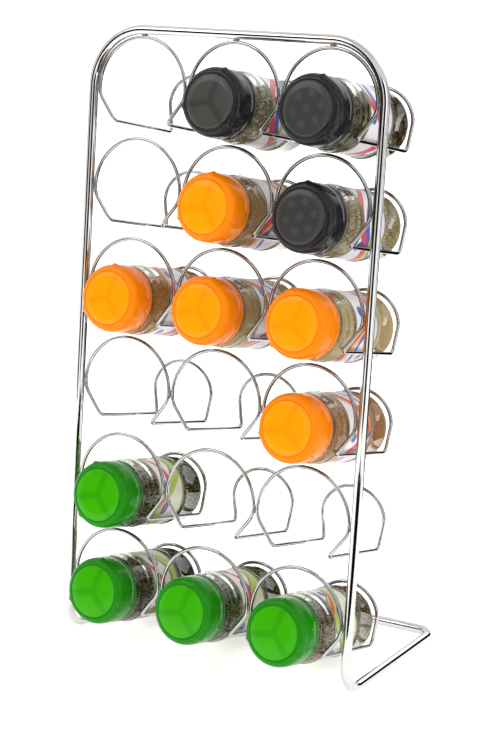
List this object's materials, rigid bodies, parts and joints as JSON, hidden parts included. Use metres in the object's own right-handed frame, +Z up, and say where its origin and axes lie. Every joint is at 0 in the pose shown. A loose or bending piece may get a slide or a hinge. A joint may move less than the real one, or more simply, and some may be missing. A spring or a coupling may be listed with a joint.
{
  "type": "spice jar rack",
  "caption": "Free-standing chromed wire rack that leans back and holds glass spice jars with screw caps in ring-and-rail holders.",
  "frame": {"origin": "centre of the bounding box on the plane the rack stands on", "axes": "+X across the rack, +Y towards the rear bar, +Z up; the jar caps face -Y"},
  "size_m": [0.205, 0.1432, 0.3788],
  "materials": {
    "chrome_rod": "polished",
    "chrome_wire": "polished",
    "clear_glass": "polished",
    "cap_orange": "satin",
    "cap_green": "satin",
    "cap_grey": "satin",
    "spice_r1c2": "matte",
    "spice_r1c3": "matte",
    "spice_r2c2": "matte",
    "spice_r2c3": "matte",
    "spice_r3c1": "matte",
    "spice_r3c2": "matte",
    "spice_r3c3": "matte",
    "spice_r4c3": "matte",
    "spice_r5c1": "matte",
    "spice_r6c1": "matte",
    "spice_r6c2": "matte",
    "spice_r6c3": "matte"
  },
  "bodies": {
    "rack": {"frame": "chrome_rod", "holder_r1c1": "chrome_wire", "holder_r1c2": "chrome_wire", "holder_r1c3": "chrome_wire", "holder_r2c1": "chrome_wire", "holder_r2c2": "chrome_wire", "holder_r2c3": "chrome_wire", "holder_r3c1": "chrome_wire", "holder_r3c2": "chrome_wire", "holder_r3c3": "chrome_wire", "holder_r4c1": "chrome_wire", "holder_r4c2": "chrome_wire", "holder_r4c3": "chrome_wire", "holder_r5c1": "chrome_wire", "holder_r5c2": "chrome_wire", "holder_r5c3": "chrome_wire", "holder_r6c1": "chrome_wire", "holder_r6c2": "chrome_wire", "holder_r6c3": "chrome_wire"},
    "jar_r1c2": {"jar_glass_r1c2": "clear_glass", "jar_contents_r1c2": "spice_r1c2"},
    "cap_r1c2": {"jar_cap_r1c2": "cap_grey"},
    "jar_r1c3": {"jar_glass_r1c3": "clear_glass", "jar_contents_r1c3": "spice_r1c3"},
    "cap_r1c3": {"jar_cap_r1c3": "cap_grey"},
    "jar_r2c2": {"jar_glass_r2c2": "clear_glass", "jar_contents_r2c2": "spice_r2c2"},
    "cap_r2c2": {"jar_cap_r2c2": "cap_orange"},
    "jar_r2c3": {"jar_glass_r2c3": "clear_glass", "jar_contents_r2c3": "spice_r2c3"},
    "cap_r2c3": {"jar_cap_r2c3": "cap_grey"},
    "jar_r3c1": {"jar_glass_r3c1": "clear_glass", "jar_contents_r3c1": "spice_r3c1"},
    "cap_r3c1": {"jar_cap_r3c1": "cap_orange"},
    "jar_r3c2": {"jar_glass_r3c2": "clear_glass", "jar_contents_r3c2": "spice_r3c2"},
    "cap_r3c2": {"jar_cap_r3c2": "cap_orange"},
    "jar_r3c3": {"jar_glass_r3c3": "clear_glass", "jar_contents_r3c3": "spice_r3c3"},
    "cap_r3c3": {"jar_cap_r3c3": "cap_orange"},
    "jar_r4c3": {"jar_glass_r4c3": "clear_glass", "jar_contents_r4c3": "spice_r4c3"},
    "cap_r4c3": {"jar_cap_r4c3": "cap_orange"},
    "jar_r5c1": {"jar_glass_r5c1": "clear_glass", "jar_contents_r5c1": "spice_r5c1"},
    "cap_r5c1": {"jar_cap_r5c1": "cap_green"},
    "jar_r6c1": {"jar_glass_r6c1": "clear_glass", "jar_contents_r6c1": "spice_r6c1"},
    "cap_r6c1": {"jar_cap_r6c1": "cap_green"},
    "jar_r6c2": {"jar_glass_r6c2": "clear_glass", "jar_contents_r6c2": "spice_r6c2"},
    "cap_r6c2": {"jar_cap_r6c2": "cap_green"},
    "jar_r6c3": {"jar_glass_r6c3": "clear_glass", "jar_contents_r6c3": "spice_r6c3"},
    "cap_r6c3": {"jar_cap_r6c3": "cap_green"}
  },
  "joints": [
    {"name": "jar_r1c2_slide", "type": "slide", "parent": "rack", "child": "jar_r1c2", "axis": [0, -0.9751, 0.2215], "range_m": [0, 0.09]},
    {"name": "cap_r1c2_lift", "type": "slide", "parent": "jar_r1c2", "child": "cap_r1c2", "axis": [0, -0.9751, 0.2215], "range_m": [0, 0.03]},
    {"name": "jar_r1c3_slide", "type": "slide", "parent": "rack", "child": "jar_r1c3", "axis": [0, -0.9751, 0.2215], "range_m": [0, 0.09]},
    {"name": "cap_r1c3_lift", "type": "slide", "parent": "jar_r1c3", "child": "cap_r1c3", "axis": [0, -0.9751, 0.2215], "range_m": [0, 0.03]},
    {"name": "jar_r2c2_slide", "type": "slide", "parent": "rack", "child": "jar_r2c2", "axis": [0, -0.9751, 0.2215], "range_m": [0, 0.09]},
    {"name": "cap_r2c2_lift", "type": "slide", "parent": "jar_r2c2", "child": "cap_r2c2", "axis": [0, -0.9751, 0.2215], "range_m": [0, 0.03]},
    {"name": "jar_r2c3_slide", "type": "slide", "parent": "rack", "child": "jar_r2c3", "axis": [0, -0.9751, 0.2215], "range_m": [0, 0.09]},
    {"name": "cap_r2c3_lift", "type": "slide", "parent": "jar_r2c3", "child": "cap_r2c3", "axis": [0, -0.9751, 0.2215], "range_m": [0, 0.03]},
    {"name": "jar_r3c1_slide", "type": "slide", "parent": "rack", "child": "jar_r3c1", "axis": [0, -0.9751, 0.2215], "range_m": [0, 0.09]},
    {"name": "cap_r3c1_lift", "type": "slide", "parent": "jar_r3c1", "child": "cap_r3c1", "axis": [0, -0.9751, 0.2215], "range_m": [0, 0.03]},
    {"name": "jar_r3c2_slide", "type": "slide", "parent": "rack", "child": "jar_r3c2", "axis": [0, -0.9751, 0.2215], "range_m": [0, 0.09]},
    {"name": "cap_r3c2_lift", "type": "slide", "parent": "jar_r3c2", "child": "cap_r3c2", "axis": [0, -0.9751, 0.2215], "range_m": [0, 0.03]},
    {"name": "jar_r3c3_slide", "type": "slide", "parent": "rack", "child": "jar_r3c3", "axis": [0, -0.9751, 0.2215], "range_m": [0, 0.09]},
    {"name": "cap_r3c3_lift", "type": "slide", "parent": "jar_r3c3", "child": "cap_r3c3", "axis": [0, -0.9751, 0.2215], "range_m": [0, 0.03]},
    {"name": "jar_r4c3_slide", "type": "slide", "parent": "rack", "child": "jar_r4c3", "axis": [0, -0.9751, 0.2215], "range_m": [0, 0.09]},
    {"name": "cap_r4c3_lift", "type": "slide", "parent": "jar_r4c3", "child": "cap_r4c3", "axis": [0, -0.9751, 0.2215], "range_m": [0, 0.03]},
    {"name": "jar_r5c1_slide", "type": "slide", "parent": "rack", "child": "jar_r5c1", "axis": [0, -0.9751, 0.2215], "range_m": [0, 0.09]},
    {"name": "cap_r5c1_lift", "type": "slide", "parent": "jar_r5c1", "child": "cap_r5c1", "axis": [0, -0.9751, 0.2215], "range_m": [0, 0.03]},
    {"name": "jar_r6c1_slide", "type": "slide", "parent": "rack", "child": "jar_r6c1", "axis": [0, -0.9751, 0.2215], "range_m": [0, 0.09]},
    {"name": "cap_r6c1_lift", "type": "slide", "parent": "jar_r6c1", "child": "cap_r6c1", "axis": [0, -0.9751, 0.2215], "range_m": [0, 0.03]},
    {"name": "jar_r6c2_slide", "type": "slide", "parent": "rack", "child": "jar_r6c2", "axis": [0, -0.9751, 0.2215], "range_m": [0, 0.09]},
    {"name": "cap_r6c2_lift", "type": "slide", "parent": "jar_r6c2", "child": "cap_r6c2", "axis": [0, -0.9751, 0.2215], "range_m": [0, 0.03]},
    {"name": "jar_r6c3_slide", "type": "slide", "parent": "rack", "child": "jar_r6c3", "axis": [0, -0.9751, 0.2215], "range_m": [0, 0.09]},
    {"name": "cap_r6c3_lift", "type": "slide", "parent": "jar_r6c3", "child": "cap_r6c3", "axis": [0, -0.9751, 0.2215], "range_m": [0, 0.03]}
  ]
}
